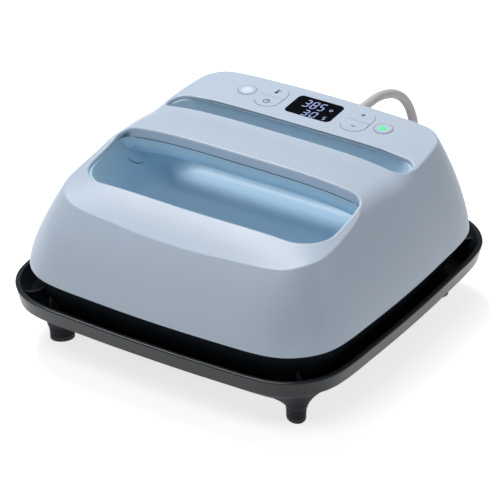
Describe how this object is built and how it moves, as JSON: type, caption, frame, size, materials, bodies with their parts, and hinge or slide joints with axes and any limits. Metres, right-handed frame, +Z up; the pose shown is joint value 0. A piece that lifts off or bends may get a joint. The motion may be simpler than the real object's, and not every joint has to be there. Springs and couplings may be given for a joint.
{
  "type": "craft heat press",
  "caption": "Square handheld heat press with a bridge handle and key panel, standing in a footed docking base, cord coiled behind.",
  "frame": {"origin": "on the surface that the docking base stands on, below the middle of the base", "axes": "+Z up, +Y towards the back where the cord leaves, +X to the operator's right"},
  "size_m": [0.2892, 0.4324, 0.1459],
  "materials": {
    "tray_black": "glossy blue-black plastic",
    "pan_grey": "dark grey textured plastic",
    "insulation_white": "woven ceramic fibre",
    "screw_steel": "zinc-plated steel",
    "silicone_grey": "silicone rest mat",
    "foot_rubber": "moulded rubber foot",
    "cord_grey": "grey cord jacket",
    "tie_black": "hook and loop strap",
    "blade_brass": "plug blade",
    "shell_paint": "satin pale blue-grey moulded plastic",
    "recess_blue": "glossy steel-blue plastic",
    "housing_dark": "dark blue-black heat-resistant plastic",
    "plate_coating": "non-stick coated cast aluminium",
    "element_steel": "sheathed heating element",
    "sheet_steel": "plain sheet steel",
    "ceramic_white": "ceramic spacer",
    "sensor_brass": "brass cap",
    "lead_red": "silicone lead insulation",
    "lead_white": "glass-braid lead insulation",
    "window_black": "smoked acrylic window",
    "display_grey": "display module",
    "backlight_white": "light guide",
    "switch_black": "tact switch",
    "led_clear": "lamp body",
    "board_green": "circuit board",
    "component_black": "moulded component",
    "transformer_core": "varnished core",
    "component_blue": "relay case",
    "capacitor_sleeve": "capacitor sleeve",
    "sink_aluminium": "extruded heatsink",
    "key_paint": "satin pale blue-grey key",
    "start_green": "lit key"
  },
  "bodies": {
    "dock": {"base_tray": "tray_black", "base_pan": "pan_grey", "base_insulation_board": "insulation_white", "base_screws": "screw_steel", "rest_mat": "silicone_grey", "rubber_foot_front_left": "foot_rubber", "rubber_foot_front_right": "foot_rubber", "rubber_foot_rear_left": "foot_rubber", "rubber_foot_rear_right": "foot_rubber", "cord": "cord_grey", "cord_coil": "cord_grey", "cord_tie": "tie_black", "plug_body": "cord_grey", "plug_blades": "blade_brass"},
    "press": {"top_shell": "shell_paint", "grip_recess_liner": "recess_blue", "handle_lower_grip": "recess_blue", "grip_screws": "screw_steel", "lower_housing": "housing_dark", "shell_screws": "screw_steel", "heat_plate": "plate_coating", "heating_element": "element_steel", "element_clamp_plate": "sheet_steel", "insulation_blanket": "insulation_white", "heat_shield": "sheet_steel", "plate_standoffs": "ceramic_white", "plate_screws": "screw_steel", "temperature_sensor": "sensor_brass", "thermal_fuse": "sheet_steel", "heater_leads": "lead_red", "sensor_leads": "lead_white", "mains_inner_leads": "lead_red", "display_window": "window_black", "display_module": "display_grey", "display_backlight": "backlight_white", "key_switches": "switch_black", "indicator_leds": "led_clear", "control_board": "board_green", "control_board_screws": "screw_steel", "buzzer": "component_black", "power_board": "board_green", "power_board_screws": "screw_steel", "transformer": "transformer_core", "relay": "component_blue", "filter_capacitors": "capacitor_sleeve", "terminal_block": "component_black", "triac_heatsink": "sink_aluminium", "board_ribbon": "display_grey", "cord_strain_relief": "cord_grey", "cord_lead": "cord_grey", "cord_clamp": "component_black", "cord_clamp_screws": "screw_steel"},
    "power_button": {"power_button": "key_paint"},
    "start_button": {"start_button": "start_green"},
    "temperature_button": {"temperature_button": "key_paint"},
    "timer_button": {"timer_button": "key_paint"},
    "increase_button": {"increase_button": "key_paint"},
    "decrease_button": {"decrease_button": "key_paint"}
  },
  "joints": [
    {"name": "press_lift", "type": "slide", "parent": "dock", "child": "press", "axis": [0, 0, 1], "range_m": [0, 0.08]},
    {"name": "power_button_press", "type": "slide", "parent": "press", "child": "power_button", "axis": [0, 0.0619, -0.9981], "range_m": [0, 0.0008], "stiffness_N_per_m": 500, "springref_m": -0.001},
    {"name": "start_button_press", "type": "slide", "parent": "press", "child": "start_button", "axis": [0, 0.0619, -0.9981], "range_m": [0, 0.0008], "stiffness_N_per_m": 500, "springref_m": -0.001},
    {"name": "temperature_button_press", "type": "slide", "parent": "press", "child": "temperature_button", "axis": [0, 0.0619, -0.9981], "range_m": [0, 0.0008], "stiffness_N_per_m": 500, "springref_m": -0.001},
    {"name": "timer_button_press", "type": "slide", "parent": "press", "child": "timer_button", "axis": [0, 0.0619, -0.9981], "range_m": [0, 0.0008], "stiffness_N_per_m": 500, "springref_m": -0.001},
    {"name": "increase_button_press", "type": "slide", "parent": "press", "child": "increase_button", "axis": [0, 0.0619, -0.9981], "range_m": [0, 0.0008], "stiffness_N_per_m": 500, "springref_m": -0.001},
    {"name": "decrease_button_press", "type": "slide", "parent": "press", "child": "decrease_button", "axis": [0, 0.0619, -0.9981], "range_m": [0, 0.0008], "stiffness_N_per_m": 500, "springref_m": -0.001}
  ]
}
